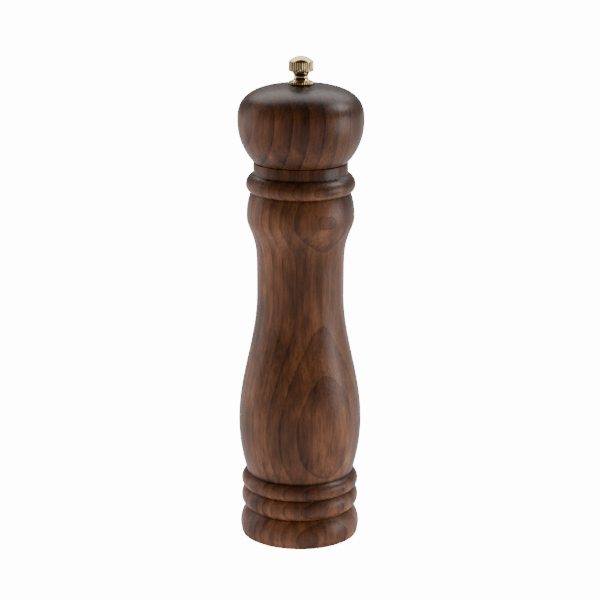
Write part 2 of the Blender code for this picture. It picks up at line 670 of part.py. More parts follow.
make_body(wood)
make_head(wood)
make_housing(nylon)
make_stator(carbon_steel)
make_rotor(carbon_steel)
make_bridge(zinc_steel)
make_bush(nylon)
make_spring(zinc_steel)
make_bar(zinc_steel)
make_shaft(zinc_steel)
make_clip(zinc_steel)
ring("rotor_washer", round_radius + GAP, WASHER_RADIUS, washer_low, washer_low + WASHER_THICKNESS, zinc_steel)
ring("spring_seat_washer", half_diagonal + GAP, spring_bore + SPRING_WIRE + GAP, seat_washer_low,
     seat_washer_top, zinc_steel)
for index, x in enumerate((bar_screw_x, -bar_screw_x), 1):
    make_screw(f"retaining_bar_screw_{index}", zinc_steel, (x, 0), bar_low - GAP - SCREW_HEAD_THICKNESS,
               BAR_SCREW_RADIUS, BAR_SCREW_LENGTH)
make_driver_plate(zinc_steel)
for index, place in enumerate(plate_screw_places(), 1):
    make_screw(f"driver_plate_screw_{index}", zinc_steel, place, plate_low - GAP - SCREW_HEAD_THICKNESS,
               PLATE_SCREW_RADIUS, PLATE_SCREW_LENGTH)
make_ferrule(brass)
make_knob(brass)
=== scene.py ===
"""Finish for a turned wooden pepper mill with a brass adjusting knob, built round its fixed frame."""
import math

import bmesh
import bpy
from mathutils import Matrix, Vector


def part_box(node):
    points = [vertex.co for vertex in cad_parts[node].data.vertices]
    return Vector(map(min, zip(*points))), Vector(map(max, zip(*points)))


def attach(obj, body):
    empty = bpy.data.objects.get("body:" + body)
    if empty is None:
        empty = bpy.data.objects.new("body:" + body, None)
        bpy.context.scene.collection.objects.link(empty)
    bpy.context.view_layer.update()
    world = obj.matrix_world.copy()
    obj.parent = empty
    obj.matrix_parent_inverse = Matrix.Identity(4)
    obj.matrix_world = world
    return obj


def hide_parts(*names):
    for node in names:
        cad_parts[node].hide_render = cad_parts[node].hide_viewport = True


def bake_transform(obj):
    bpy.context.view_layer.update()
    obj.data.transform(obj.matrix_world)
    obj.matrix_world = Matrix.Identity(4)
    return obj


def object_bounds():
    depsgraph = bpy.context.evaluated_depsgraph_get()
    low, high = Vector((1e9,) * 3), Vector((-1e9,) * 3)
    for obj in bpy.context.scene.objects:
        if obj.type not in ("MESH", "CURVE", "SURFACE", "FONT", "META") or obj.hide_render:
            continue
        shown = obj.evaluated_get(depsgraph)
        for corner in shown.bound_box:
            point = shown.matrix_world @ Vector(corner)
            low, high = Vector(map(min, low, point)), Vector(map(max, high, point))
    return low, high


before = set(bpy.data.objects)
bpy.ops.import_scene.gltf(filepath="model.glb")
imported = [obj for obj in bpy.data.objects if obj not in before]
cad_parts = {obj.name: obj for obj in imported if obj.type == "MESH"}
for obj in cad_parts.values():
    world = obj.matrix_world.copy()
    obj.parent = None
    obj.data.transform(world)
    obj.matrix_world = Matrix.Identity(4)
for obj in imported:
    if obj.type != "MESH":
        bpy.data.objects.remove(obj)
cad_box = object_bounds()

MM = 0.001

# ------------------------------------------------------------------ studio
# A long lens looks a little down on the mill, which stands on a white table that runs out of sight.
# Most light comes up off the table, which glows as painted bounce light, and in from two softboxes at the
# sides; the front is darker.
# Three more softboxes, at the left edge, high right and overhead, only gleam in the lacquer.

VIEW_DROP = math.radians(14.81)
VIEW_ROLL = math.radians(0.19)

camera_data = bpy.data.cameras.new("camera")
camera_data.lens = 117.2
camera_data.sensor_width = 36.0
camera = bpy.data.objects.new("camera", camera_data)
camera.location = (-0.00013, -0.8507, 0.3348)
camera.rotation_euler = (math.pi / 2 - VIEW_DROP, 0.0, 0.0)
camera.rotation_euler.rotate_axis('Z', VIEW_ROLL)
bpy.context.scene.collection.objects.link(camera)
bpy.context.scene.camera = camera


def add(tree, kind, feeds=None, **settings):
    """Place a shader node, set it up, and feed its inputs with plain values or other nodes' outputs."""
    node = tree.nodes.new("ShaderNode" + kind)
    for key, value in settings.items():
        setattr(node, key, value)
    for key, value in (feeds or {}).items():
        if isinstance(value, bpy.types.NodeSocket):
            tree.links.new(value, node.inputs[key])
        else:
            node.inputs[key].default_value = value
    return node


def new_material(name):
    """Empty node material and its Principled shader."""
    mat = bpy.data.materials.new(name)
    mat.use_nodes = True
    return mat, mat.node_tree, mat.node_tree.nodes["Principled BSDF"]


FLOOR_HALF = 3.0
WHITE_LEVEL = 14.0
bpy.ops.object.select_all(action='DESELECT')
bpy.ops.mesh.primitive_plane_add(size=2 * FLOOR_HALF, location=(0, 0, 0))
floor = bpy.context.object
floor.name = "studio_floor"

floor_finish, tree, shader = new_material("floor_white")
shader.inputs["Base Color"].default_value = (0.35, 0.35, 0.35, 1.0)
shader.inputs["Roughness"].default_value = 0.9
shader.inputs["Emission Color"].default_value = (1.0, 1.0, 1.0, 1.0)
# Camera rays see an evenly white floor. For other rays the floor glows as painted bounce light: for diffuse
# rays it is brighter near the mill and behind it, and in reflections it is dark in front and bright behind.
path = add(tree, "LightPath").outputs
spot = add(tree, "TexCoord").outputs["Object"]
bearing = add(tree, "VectorMath", {0: spot}, operation='NORMALIZE').outputs["Vector"]
behind = add(tree, "SeparateXYZ", {0: bearing}).outputs[1]
away = add(tree, "VectorMath", {0: spot}, operation='LENGTH').outputs["Value"]
feeds = {"Value": behind, "From Min": -0.45, "From Max": 0.2, "To Min": 0.28, "To Max": 0.8}
sheen = add(tree, "MapRange", feeds).outputs[0]
feeds = {"Value": behind, "From Min": -1.0, "From Max": 0.0, "To Min": 1.5, "To Max": 4.2}
near = add(tree, "MapRange", feeds).outputs[0]
feeds = {"Value": away, "From Min": 0.03, "From Max": 0.36, "To Min": near, "To Max": 0.45}
lift = add(tree, "MapRange", feeds).outputs[0]
cast = add(tree, "MapRange", {"Value": path["Is Diffuse Ray"], "To Min": sheen, "To Max": lift}).outputs[0]
feeds = {"Value": path["Is Camera Ray"], "To Min": cast, "To Max": WHITE_LEVEL}
glow = add(tree, "MapRange", feeds).outputs[0]
tree.links.new(glow, shader.inputs["Emission Strength"])
floor.data.materials.append(floor_finish)

world = bpy.data.worlds.new("studio_surround")
bpy.context.scene.world = world
world.use_nodes = True
tree = world.node_tree
seen = add(tree, "LightPath").outputs["Is Camera Ray"]
aim = add(tree, "TexCoord").outputs["Generated"]
behind = add(tree, "SeparateXYZ", {0: aim}).outputs[1]
feeds = {"Value": behind, "From Min": -0.05, "From Max": 0.4, "To Min": 0.015, "To Max": 0.3}
backdrop = add(tree, "MapRange", feeds).outputs[0]
feeds = {"Value": seen, "To Min": backdrop, "To Max": WHITE_LEVEL}
level = add(tree, "MapRange", feeds).outputs[0]
tree.links.new(level, tree.nodes["Background"].inputs["Strength"])
tree.nodes["Background"].inputs["Color"].default_value = (1.0, 1.0, 1.0, 1.0)


def soft_light(name, azimuth, elevation, distance, width, height, power, lights=True, gleams=True):
    """Rectangular soft light aimed at the middle of the mill, placed by its compass and height angles. It
    lights the surfaces, gleams in the lacquer and brass, or both."""
    lo, hi = cad_box
    aim = (lo + hi) / 2
    a, e = math.radians(azimuth), math.radians(elevation)
    data = bpy.data.lights.new(name, 'AREA')
    data.shape = 'RECTANGLE'
    data.size = width
    data.size_y = height
    data.energy = power
    lamp = bpy.data.objects.new(name, data)
    away = aim.copy()
    away.x, away.y, away.z = math.sin(a) * math.cos(e), -math.cos(a) * math.cos(e), math.sin(e)
    lamp.location = aim + away * distance
    lamp.rotation_euler = away.to_track_quat('Z', 'Y').to_euler()
    lamp.visible_diffuse = lights
    lamp.visible_glossy = gleams
    bpy.context.scene.collection.objects.link(lamp)


soft_light("right_softbox", 80, -4, 0.8, 0.45, 0.5, 3.0)
soft_light("left_softbox", -78, -4, 0.9, 0.7, 0.5, 3.2, gleams=False)
soft_light("left_edge_softbox", -105, 10, 0.9, 0.35, 0.7, 1.1, lights=False)
soft_light("high_softbox", 100, 44, 0.8, 0.30, 0.32, 2.2, lights=False)
soft_light("overhead_softbox", 180, 56, 0.9, 1.2, 0.7, 6.4, lights=False)

# ------------------------------------------------------------------ body
# The body is turned between centres from one blank of close-grained hardwood, stained dark walnut and
# sprayed with satin lacquer. From below it is bored for the grinding unit, from above for the head.

CREASE_SPREAD = 1.3 * MM
TURNED_STEPS = 180
SMOOTH_LIMIT = math.radians(32.0)


def quarter(wide, end, steps):
    """Arc from the widest point of a turned form, where it runs upright, to an end point. The first point
    is left out."""
    (wide_r, wide_z), (end_r, end_z) = wide, end
    depth = wide_r - end_r
    radius = ((end_z - wide_z) ** 2 + depth ** 2) / (2 * depth)
    centre = wide_r - radius
    sweep = math.atan2(end_z - wide_z, end_r - centre)
    angles = [sweep * i / steps for i in range(1, steps + 1)]
    return [(centre + radius * math.cos(a), wide_z + radius * math.sin(a)) for a in angles]


def bead(low, wide, high, steps):
    """Round bead from a low point over its widest line to a high point, both ends included."""
    return [low] + quarter(wide, low, steps)[-2::-1] + [wide] + quarter(wide, high, steps)


def ogee(start, end, steps, lag=1.0):
    """S-curve between two upright points of a turned form, without the first. Lag keeps it near the start."""
    points = []
    for i in range(1, steps + 1):
        t = i / steps
        share = (1 - math.cos(math.pi * t ** lag)) / 2
        points.append((start[0] + (end[0] - start[0]) * share, start[1] + (end[1] - start[1]) * t))
    return points


def start_piece(name):
    """One vertex on the mill's axis at the floor, in edit mode, as the start of a drawn outline."""
    bpy.ops.object.select_all(action='DESELECT')
    bpy.ops.mesh.primitive_plane_add(size=MM, location=(0, 0, 0))
    piece = bpy.context.object
    piece.name = piece.data.name = name
    bpy.ops.object.mode_set(mode='EDIT')
    bpy.ops.mesh.select_all(action='SELECT')
    bpy.ops.mesh.merge(type='CENTER')
    return piece


def tidy_mesh(merge=0.002 * MM):
    """In edit mode: weld what coincides and turn all faces outwards."""
    bpy.ops.mesh.select_all(action='SELECT')
    bpy.ops.mesh.remove_doubles(threshold=merge)
    bpy.ops.mesh.normals_make_consistent(inside=False)


def turn(name, outline, steps=TURNED_STEPS):
    """Draw an outline of (radius, height) points by extruding a vertex, and spin it round the axis."""
    piece = start_piece(name)
    bpy.ops.transform.translate(value=(outline[0][0], 0, outline[0][1]))
    ends_on_axis = outline[0][0] == 0
    stops = outline[1:] if ends_on_axis else outline[1:] + outline[:1]
    r, z = outline[0]
    for next_r, next_z in stops:
        bpy.ops.mesh.extrude_region_move(TRANSFORM_OT_translate={"value": (next_r - r, 0, next_z - z)})
        r, z = next_r, next_z
    bpy.ops.mesh.select_all(action='SELECT')
    bpy.ops.mesh.spin(steps=steps, angle=2 * math.pi, center=(0, 0, 0), axis=(0, 0, 1))
    tidy_mesh()
    bpy.ops.object.mode_set(mode='OBJECT')
    bpy.ops.object.shade_smooth_by_angle(angle=SMOOTH_LIMIT)
    return piece


def paint_crease_shade(piece, creases, spread=CREASE_SPREAD):
    """Store on each vertex how near it is to a crease line, as a mask for painted shade along it."""
    mark = piece.data.attributes.new("crease", 'FLOAT', 'POINT')
    for vert in piece.data.vertices:
        r = math.hypot(vert.co.x, vert.co.y)
        near = min(math.hypot(r - cr, vert.co.z - cz) for cr, cz in creases)
        mark.data[vert.index].value = max(0.0, 1.0 - near / spread) ** 2


foot_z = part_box("body")[0].z
collar_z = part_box("body")[1].z
foot_edge = (26.75 * MM, 1.0 * MM)
foot_top = (24.2 * MM, 13.0 * MM)
ring_crease = (24.9 * MM, 22.5 * MM)
belly_foot = (24.1 * MM, 30.1 * MM)
belly = (27.8 * MM, 54.4 * MM)
waist = (19.55 * MM, 113.4 * MM)
shoulder = (24.05 * MM, 148.3 * MM)
shoulder_end = (24.05 * MM, 149.9 * MM)
groove = (22.25 * MM, 159.8 * MM)
neck_ring = (24.4 * MM, 163.4 * MM)
collar_foot = (21.35 * MM, 168.1 * MM)
collar_radius = 21.05 * MM
collar_edge = 0.4 * MM
tenon_bore, ledge_z = 13.8 * MM, 155.7 * MM
chamber = 13.0 * MM
housing_bore, housing_end = 16.5 * MM, 36.0 * MM
recess, recess_top = 22.5 * MM, 7.0 * MM

outline = [(24.0 * MM, foot_z), (25.9 * MM, foot_z), (26.45 * MM, 0.3 * MM), foot_edge]
outline += ogee(foot_edge, (27.25 * MM, 4.5 * MM), 6)
outline += quarter(outline[-1], foot_top, 16)
outline += bead(foot_top, (26.7 * MM, 17.75 * MM), ring_crease, 12)[1:]
outline += bead(ring_crease, (26.65 * MM, 25.9 * MM), belly_foot, 12)[1:]
outline += quarter(belly, belly_foot, 18)[-2::-1] + [belly]
outline += ogee(belly, waist, 36)
outline += ogee(waist, shoulder, 30, 3.0)
outline += [shoulder_end] + quarter(shoulder_end, groove, 14)
outline += bead(groove, neck_ring, collar_foot, 12)[1:]
outline += [(collar_radius, 168.4 * MM), (collar_radius, collar_z - collar_edge)]
outline += [(collar_radius - 0.12 * MM, collar_z - 0.12 * MM), (collar_radius - collar_edge, collar_z)]
outline += [(tenon_bore, collar_z), (tenon_bore, ledge_z), (chamber, ledge_z), (chamber, housing_end)]
outline += [(housing_bore, housing_end), (housing_bore, recess_top), (recess, recess_top), (recess, 0.4 * MM)]
outline += [(recess + 0.4 * MM, foot_z)]
body = turn("turned_body", outline)
# Painted shade along the creases between the beads, the groove and the collar.
paint_crease_shade(body, [foot_top, ring_crease, belly_foot, groove, collar_foot])


def mix_colour(tree, share, one, two, mode='MIX'):
    """Colour between two, or the second laid on the first in another way."""
    node = add(tree, "Mix", {0: share, 6: one, 7: two}, data_type='RGBA', blend_type=mode)
    return node.outputs[2]


def math_node(tree, operation, one, two=0.0, clamp=False):
    return add(tree, "Math", {0: one, 1: two}, operation=operation, use_clamp=clamp).outputs[0]


def map_range(tree, value, low, high, to_low=0.0, to_high=1.0):
    feeds = {"Value": value, "From Min": low, "From Max": high, "To Min": to_low, "To Max": to_high}
    return add(tree, "MapRange", feeds).outputs[0]


def stretched_noise(tree, place, scale, along, detail=3.0, rough=0.55):
    """Noise drawn out along the grain, where along is how many times slower it changes upwards."""
    drawn = add(tree, "Mapping", {"Vector": place, "Scale": (1.0, 1.0, 1.0 / along)}).outputs[0]
    feeds = {"Vector": drawn, "Scale": scale, "Detail": detail, "Roughness": rough}
    return add(tree, "TexNoise", feeds).outputs[0]


def make_wood_group():
    """Growth rings, fibres, pores and stain of a turned blank, from a place measured off its pith, with
    painted shade darkening the crease lines.
    """
    group = bpy.data.node_groups.new("stained_grain", 'ShaderNodeTree')
    face = group.interface
    for name, kind in (("Place", 'Vector'), ("Rings", 'Float'), ("Waver", 'Float'), ("Ring Depth", 'Float'),
                       ("Crease", 'Float'), ("Light", 'Color'), ("Middle", 'Color'), ("Dark", 'Color')):
        face.new_socket(name=name, in_out='INPUT', socket_type='NodeSocket' + kind)
    for name, kind in (("Color", 'Color'), ("Roughness", 'Float'), ("Height", 'Float')):
        face.new_socket(name=name, in_out='OUTPUT', socket_type='NodeSocket' + kind)
    given = group.nodes.new("NodeGroupInput").outputs
    place = given["Place"]

    slow = add(group, "Mapping", {"Vector": place, "Scale": (1.0, 1.0, 0.22)}).outputs[0]
    feeds = {"Vector": slow, "Scale": given["Rings"], "Distortion": given["Waver"],
             "Detail": 2.0, "Detail Scale": 0.5, "Detail Roughness": 0.6}
    waves = add(group, "TexWave", feeds, wave_type='RINGS', rings_direction='Z', wave_profile='SAW')
    rings = waves.outputs[1]
    inward = math_node(group, 'SUBTRACT', 1.0, rings)
    soft_edge = math_node(group, 'MULTIPLY', math_node(group, 'POWER', inward, 1.6), 0.6)
    sharp_edge = math_node(group, 'MULTIPLY', math_node(group, 'POWER', inward, 9.0), 0.35)
    late = math_node(group, 'ADD', soft_edge, sharp_edge)

    bands = stretched_noise(group, place, 260.0, 9.0, 3.0, 0.6)
    fibres = stretched_noise(group, place, 1500.0, 26.0, 3.0, 0.65)
    pores = stretched_noise(group, place, 2600.0, 14.0, 1.0, 0.4)
    mottle = stretched_noise(group, place, 42.0, 1.7, 4.0, 0.62)

    tone = math_node(group, 'MULTIPLY', map_range(group, bands, 0.3, 0.7), 0.34)
    for pattern, low, high, weight in ((mottle, 0.36, 0.64, 0.44), (fibres, 0.3, 0.7, 0.26)):
        part = math_node(group, 'MULTIPLY', map_range(group, pattern, low, high), weight)
        tone = math_node(group, 'ADD', tone, part)
    tone = math_node(group, 'SUBTRACT', tone, math_node(group, 'MULTIPLY', late, given["Ring Depth"]))
    low = map_range(group, tone, 0.0, 0.5)
    high = map_range(group, tone, 0.5, 1.0)
    colour = mix_colour(group, low, given["Dark"], given["Middle"])
    colour = mix_colour(group, high, colour, given["Light"])
    pore_mask = map_range(group, pores, 0.62, 0.72)
    colour = mix_colour(group, math_node(group, 'MULTIPLY', pore_mask, 0.35), colour, given["Dark"])
    # Painted shade: the crease mask pulls the colour towards the dark tone.
    colour = mix_colour(group, math_node(group, 'MULTIPLY', given["Crease"], 0.8), colour, given["Dark"])

    height = math_node(group, 'SUBTRACT', math_node(group, 'MULTIPLY', fibres, 0.5), pore_mask)
    rough = map_range(group, fibres, 0.3, 0.7, 0.30, 0.42)
    result = group.nodes.new("NodeGroupOutput")
    group.links.new(colour, result.inputs["Color"])
    group.links.new(rough, result.inputs["Roughness"])
    group.links.new(height, result.inputs["Height"])
    return group


wood_group = make_wood_group()


def wood_finish(name, facing, lean, pith, ring_width, waver, ring_depth, light, middle, dark):
    """Stained and lacquered wood. Its rings run square to a compass direction, round a pith far behind."""
    mat, tree, shader = new_material(name)
    coords = add(tree, "TexCoord").outputs["Object"]
    turned_to = (0.0, math.radians(lean), math.radians(90 - facing))
    feeds = {"Vector": coords, "Location": (pith, 0.0, 0.0), "Rotation": turned_to}
    place = add(tree, "Mapping", feeds).outputs[0]
    grain = tree.nodes.new("ShaderNodeGroup")
    grain.node_tree = wood_group
    tree.links.new(place, grain.inputs["Place"])
    grain.inputs["Rings"].default_value = math.pi / 10 / ring_width
    grain.inputs["Waver"].default_value = waver
    grain.inputs["Ring Depth"].default_value = ring_depth
    grain.inputs["Light"].default_value = (*light, 1.0)
    grain.inputs["Middle"].default_value = (*middle, 1.0)
    grain.inputs["Dark"].default_value = (*dark, 1.0)
    # The crease mask feeds the painted shade in the creases.
    crease = add(tree, "Attribute", attribute_name="crease").outputs["Fac"]
    tree.links.new(crease, grain.inputs["Crease"])
    bump = add(tree, "Bump", {"Height": grain.outputs["Height"], "Strength": 0.25, "Distance": 0.03 * MM})
    tree.links.new(grain.outputs["Color"], shader.inputs["Base Color"])
    tree.links.new(grain.outputs["Roughness"], shader.inputs["Roughness"])
    tree.links.new(bump.outputs[0], shader.inputs["Normal"])
    shader.inputs["IOR"].default_value = 1.44
    return mat


body_finish = wood_finish("walnut_stain_body", 27, 0.5, 81.6 * MM, 3.8 * MM, 3.0, 0.3,
                          (0.38, 0.145, 0.06), (0.175, 0.06, 0.023), (0.036, 0.013, 0.0055))
body.data.materials.append(body_finish)
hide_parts("body")
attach(body, "body")

# ------------------------------------------------------------------ grinder housing
# Moulded in black nylon: a barrel that holds the stator, on a round flange that sits in the recess under
# the foot. Two screws through the retaining bar also hold the flange.

SCREW_PLACE = 19.0 * MM
SCREW_HOLE = 1.55 * MM
RING_STEPS = 96


def choose(piece):
    """Make one piece the only one selected, and the active one."""
    bpy.ops.object.select_all(action='DESELECT')
    piece.select_set(True)
    bpy.context.view_layer.objects.active = piece


def combine(piece, other, operation='DIFFERENCE'):
    """Cut one piece with another, or weld them, and use the other up."""
    change = piece.modifiers.new("shape", 'BOOLEAN')
    change.operation = operation
    change.solver = 'EXACT'
    change.object = other
    choose(piece)
    bpy.ops.object.modifier_apply(modifier="shape")
    bpy.data.objects.remove(other)


def drill(piece, x, y, low, high, radius):
    """Straight round hole."""
    bpy.ops.object.select_all(action='DESELECT')
    middle = (x, y, (low + high) / 2)
    bpy.ops.mesh.primitive_cylinder_add(vertices=48, radius=radius, depth=high - low, location=middle)
    combine(piece, bpy.context.object)


def block(low, high):
    """Square-cornered block between two corners, used for slots, arms and square holes."""
    bpy.ops.object.select_all(action='DESELECT')
    middle = [(a + b) / 2 for a, b in zip(low, high)]
    bpy.ops.mesh.primitive_cube_add(size=1.0, location=middle)
    bpy.context.object.scale = [b - a for a, b in zip(low, high)]
    bpy.ops.object.transform_apply(location=True, rotation=True, scale=True)
    return bpy.context.object


def ease_edges(piece, width, segments=2, angle=35.0):
    """Break the sharp edges and shade the rest smooth."""
    bevel = piece.modifiers.new("ease", 'BEVEL')
    bevel.width = width
    bevel.segments = segments
    bevel.limit_method = 'ANGLE'
    bevel.angle_limit = math.radians(angle)
    bevel.use_clamp_overlap = True
    choose(piece)
    bpy.ops.object.modifier_apply(modifier="ease")
    bpy.ops.object.shade_smooth_by_angle(angle=SMOOTH_LIMIT)


def fit(piece, finish, node, group):
    """Give a finished piece its material, and let it stand for its node on the body it moves with."""
    piece.data.materials.clear()
    piece.data.materials.append(finish)
    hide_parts(node)
    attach(piece, group)


def nylon_finish(name, tone):
    """Glass-filled nylon straight from the mould, with a fine matt grain and cloudy flow marks."""
    mat, tree, shader = new_material(name)
    coords = add(tree, "TexCoord").outputs["Object"]
    clouds = stretched_noise(tree, coords, 220.0, 2.0)
    pale = tuple(1.7 * c + 0.006 for c in tone)
    colour = mix_colour(tree, map_range(tree, clouds, 0.35, 0.7), (*tone, 1.0), (*pale, 1.0))
    sparks = add(tree, "TexVoronoi", {"Vector": coords, "Scale": 3200.0}).outputs["Distance"]
    bump = add(tree, "Bump", {"Height": sparks, "Strength": 0.35, "Distance": 0.02 * MM})
    tree.links.new(colour, shader.inputs["Base Color"])
    tree.links.new(map_range(tree, clouds, 0.3, 0.7, 0.42, 0.6), shader.inputs["Roughness"])
    tree.links.new(bump.outputs[0], shader.inputs["Normal"])
    shader.inputs["IOR"].default_value = 1.53
    return mat


flange_low, flange_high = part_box("grinder_housing")[0].z, 6.7 * MM
flange, barrel, barrel_top = 22.2 * MM, 16.2 * MM, 34.0 * MM
pocket, pocket_top, throat = 14.3 * MM, 15.4 * MM, 13.0 * MM
outline = [(pocket, flange_low), (flange, flange_low), (flange, flange_high), (barrel, flange_high)]
outline += [(barrel, barrel_top), (throat, barrel_top), (throat, pocket_top), (pocket, pocket_top)]
housing = turn("housing", outline, 120)
for side in (-1, 1):
    drill(housing, side * SCREW_PLACE, 0, flange_low - MM, flange_high + MM, SCREW_HOLE)
ease_edges(housing, 0.18 * MM)
nylon = nylon_finish("black_nylon_moulding", (0.022, 0.022, 0.024))
fit(housing, nylon, "grinder_housing", "body")

# ------------------------------------------------------------------ stator
# The outer burr is a hardened steel ring, pressed into the housing. Its twenty slanting teeth are formed on
# a bore that narrows upwards, so that cracked corns are drawn down into an ever finer gap.

TEETH = 20
TOOTH_DEPTH = 0.6 * MM
TOOTH_FACE = (0.0, 0.95, 0.85, 0.62, 0.38, 0.12)
TOOTH_RING = TEETH * len(TOOTH_FACE)


def pick(piece, test):
    """In edit mode: select the vertices that pass a test, with the edges and faces between them."""
    net = bmesh.from_edit_mesh(piece.data)
    for part in (*net.faces, *net.edges):
        part.select = False
    for vert in net.verts:
        vert.select = test(vert)
    net.select_flush(True)
    bmesh.update_edit_mesh(piece.data)


def scale_about_axis(factor):
    """Widen or narrow the selection, at its height."""
    bpy.ops.transform.resize(value=(factor, factor, 1.0), center_override=(0, 0, 0))


def turn_about_axis(angle):
    """Turn the selection anticlockwise, seen from above."""
    bpy.ops.transform.rotate(value=-angle, orient_axis='Z', orient_type='GLOBAL', center_override=(0, 0, 0))


def round_step(vert, steps):
    """Which of the equal steps round the axis a vertex stands on."""
    return round(math.atan2(vert.co.y, vert.co.x) / (2 * math.pi) * steps) % steps


def toothed_plug(name, stops, way, twist):
    """Solid plug through (radius, height) stops, with the tooth pattern sunk or raised all round it and
    wound round the axis from the first stop to the last."""
    (r, z) = stops[0]
    bpy.ops.object.select_all(action='DESELECT')
    bpy.ops.mesh.primitive_circle_add(vertices=TOOTH_RING, radius=r, location=(0, 0, 0))
    plug = bpy.context.object
    plug.name = plug.data.name = name
    bpy.ops.object.mode_set(mode='EDIT')
    bpy.ops.mesh.select_all(action='SELECT')
    bpy.ops.transform.translate(value=(0, 0, z))
    for place, share in enumerate(TOOTH_FACE):
        if share:
            pick(plug, lambda v: round_step(v, TOOTH_RING) % len(TOOTH_FACE) == place)
            scale_about_axis(1 + way * share * TOOTH_DEPTH / r)
    bpy.ops.mesh.select_all(action='SELECT')
    bpy.ops.mesh.edge_face_add()
    for next_r, next_z in stops[1:]:
        bpy.ops.mesh.extrude_region_move(TRANSFORM_OT_translate={"value": (0, 0, next_z - z)})
        scale_about_axis(next_r / r)
        turn_about_axis(twist / (len(stops) - 1))
        r, z = next_r, next_z
    tidy_mesh()
    bpy.ops.object.mode_set(mode='OBJECT')
    return plug


def shade(piece, angle):
    """Shade smooth up to an edge angle in degrees."""
    choose(piece)
    bpy.ops.object.shade_smooth_by_angle(angle=math.radians(angle))


def between(start, end, steps):
    """Evenly spaced points on a straight line, both ends included."""
    return [tuple(a + (b - a) * i / steps for a, b in zip(start, end)) for i in range(steps + 1)]


def ring_outline(inner, outer, low, high, edge):
    """Section of a flat ring with broken edges."""
    return [(inner + edge, low), (outer - edge, low), (outer, low + edge), (outer, high - edge),
            (outer - edge, high), (inner + edge, high), (inner, high - edge), (inner, low + edge)]


def metal_surface():
    """Faint lines left by the tool or press, and patches where plating and handling differ."""
    group = bpy.data.node_groups.new("worked_metal", 'ShaderNodeTree')
    face = group.interface
    for name, kind in (("Place", 'Vector'), ("Tone", 'Color'), ("Shade", 'Color'), ("Lines", 'Float'),
                       ("Patches", 'Float'), ("Smooth", 'Float'), ("Rough", 'Float')):
        face.new_socket(name=name, in_out='INPUT', socket_type='NodeSocket' + kind)
    for name, kind in (("Color", 'Color'), ("Roughness", 'Float'), ("Height", 'Float')):
        face.new_socket(name=name, in_out='OUTPUT', socket_type='NodeSocket' + kind)
    given = group.nodes.new("NodeGroupInput").outputs
    apart = add(group, "SeparateXYZ", {0: given["Place"]})
    squares = [math_node(group, 'POWER', math_node(group, 'ABSOLUTE', apart.outputs[i]), 2.0) for i in (0, 1)]
    radius = math_node(group, 'SQRT', math_node(group, 'ADD', squares[0], squares[1]))
    round_place = add(group, "CombineXYZ", {0: radius, 1: 0.0, 2: apart.outputs[2]}).outputs[0]
    feeds = {"Vector": round_place, "Scale": given["Lines"], "Detail": 2.0, "Roughness": 0.6}
    lines = add(group, "TexNoise", feeds).outputs[0]
    feeds = {"Vector": given["Place"], "Scale": given["Patches"], "Detail": 4.0, "Roughness": 0.6}
    patches = map_range(group, add(group, "TexNoise", feeds).outputs[0], 0.35, 0.7)
    result = group.nodes.new("NodeGroupOutput")
    group.links.new(mix_colour(group, patches, given["Tone"], given["Shade"]), result.inputs["Color"])
    share = math_node(group, 'ADD', math_node(group, 'MULTIPLY', patches, 0.6),
                      math_node(group, 'MULTIPLY', lines, 0.4))
    spread = math_node(group, 'SUBTRACT', given["Rough"], given["Smooth"])
    rough = math_node(group, 'ADD', given["Smooth"], math_node(group, 'MULTIPLY', spread, share))
    group.links.new(rough, result.inputs["Roughness"])
    group.links.new(lines, result.inputs["Height"])
    return group


metal_group = metal_surface()


def metal_finish(name, tone, shade, smooth, rough, painted_groove_shade=None):
    """Bare or plated metal. The groove shade is a dark colour laid in its grooves as painted shade, where the
    crease mask marks them.
    """
    mat, tree, shader = new_material(name)
    surface = tree.nodes.new("ShaderNodeGroup")
    surface.node_tree = metal_group
    tree.links.new(add(tree, "TexCoord").outputs["Object"], surface.inputs["Place"])
    values = {"Tone": (*tone, 1.0), "Shade": (*shade, 1.0), "Lines": 9000.0, "Patches": 300.0,
              "Smooth": smooth, "Rough": rough}
    for key, value in values.items():
        surface.inputs[key].default_value = value
    bump = add(tree, "Bump", {"Height": surface.outputs["Height"], "Strength": 0.3, "Distance": 0.004 * MM})
    colour = surface.outputs["Color"]
    # Painted shade: the crease mask darkens the colour in the grooves.
    if painted_groove_shade:
        mark = add(tree, "Attribute", attribute_name="crease").outputs["Fac"]
        colour = mix_colour(tree, math_node(tree, 'POWER', mark, 1.2), colour, (*painted_groove_shade, 1.0))
    tree.links.new(colour, shader.inputs["Base Color"])
    tree.links.new(surface.outputs["Roughness"], shader.inputs["Roughness"])
    tree.links.new(bump.outputs[0], shader.inputs["Normal"])
    shader.inputs["Metallic"].default_value = 1.0
    return mat


stator_low, stator_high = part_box("stator")[0].z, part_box("stator")[1].z
bore_low, bore_high = 11.6 * MM, 9.0 * MM
beyond = 0.5 * MM
slope = (bore_high - bore_low) / (stator_high - stator_low)
stator = turn("outer_burr", ring_outline(8.0 * MM, 14.0 * MM, stator_low, stator_high, 0.25 * MM), RING_STEPS)
first_stop = (bore_low - slope * beyond, stator_low - beyond)
last_stop = (bore_high + slope * beyond, stator_high + beyond)
plug = toothed_plug("toothed_bore", between(first_stop, last_stop, 8), 1, math.radians(-10.0))
combine(stator, plug)
shade(stator, 25.0)
carbon_steel = metal_finish("hardened_carbon_steel", (0.34, 0.335, 0.335), (0.20, 0.195, 0.19), 0.30, 0.52)
fit(stator, carbon_steel, "stator", "body")

# ------------------------------------------------------------------ shaft bridge and its bush
# The bridge is a stamped ring with three arms, held between the body's step and the housing. A nylon bush
# snaps into its eye and guides the square shaft.

bridge_low, bridge_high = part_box("shaft_bridge")[0].z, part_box("shaft_bridge")[1].z
HUB_BORE = 5.2855 * MM
ARM_WIDTH = 3.5 * MM
BUSH_BORE = 3.8355 * MM

